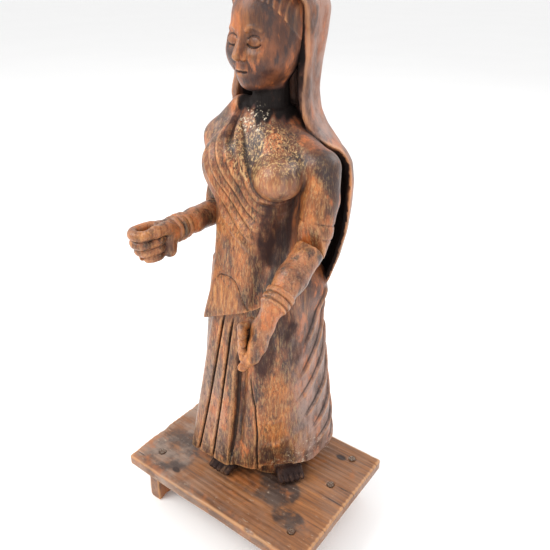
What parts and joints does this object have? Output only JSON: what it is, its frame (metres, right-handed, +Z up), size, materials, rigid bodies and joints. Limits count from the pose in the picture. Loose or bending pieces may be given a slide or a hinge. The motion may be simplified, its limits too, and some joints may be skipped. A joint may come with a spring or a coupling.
{
  "type": "carved wooden standing figure",
  "caption": "Carved wooden figure of a veiled woman in a sari, with pegged forearms and a hollow fist, standing on a plank base with cross battens.",
  "frame": {"origin": "centre of the object's box, on the floor under the battens", "axes": "+Z up, -Y is the figure's front, +X is the figure's left"},
  "size_m": [0.25, 0.196, 0.596],
  "materials": {
    "figure_wood": "dark stained and waxed, worn to orange-brown on high points",
    "left_forearm_wood": "dark stained and waxed, worn",
    "right_forearm_wood": "dark stained and waxed, worn",
    "dowel_wood": "bare",
    "board_wood": "worn stain, darkened by handling",
    "batten_wood": "sawn and stained",
    "nail_iron": "dull, rust-stained",
    "screw_steel": "dull"
  },
  "bodies": {
    "figure": {"carved_figure": "figure_wood", "left_elbow_dowel": "dowel_wood", "right_elbow_dowel": "dowel_wood", "base_board": "board_wood", "left_batten": "batten_wood", "right_batten": "batten_wood", "batten_nails": "nail_iron", "figure_screws": "screw_steel"},
    "left_forearm": {"left_forearm": "left_forearm_wood"},
    "right_forearm": {"right_forearm": "right_forearm_wood"}
  },
  "joints": [
    {"name": "left_forearm_swivel", "type": "hinge", "parent": "figure", "child": "left_forearm", "pos_m": [0.069, 0.006, 0.361], "axis": [-0.0334, -0.8341, -0.5505], "range_deg": [-30, 30]},
    {"name": "right_forearm_swivel", "type": "hinge", "parent": "figure", "child": "right_forearm", "pos_m": [-0.0495, 0.01, 0.37], "axis": [0, -1, 0], "range_deg": [-60, 60]}
  ]
}
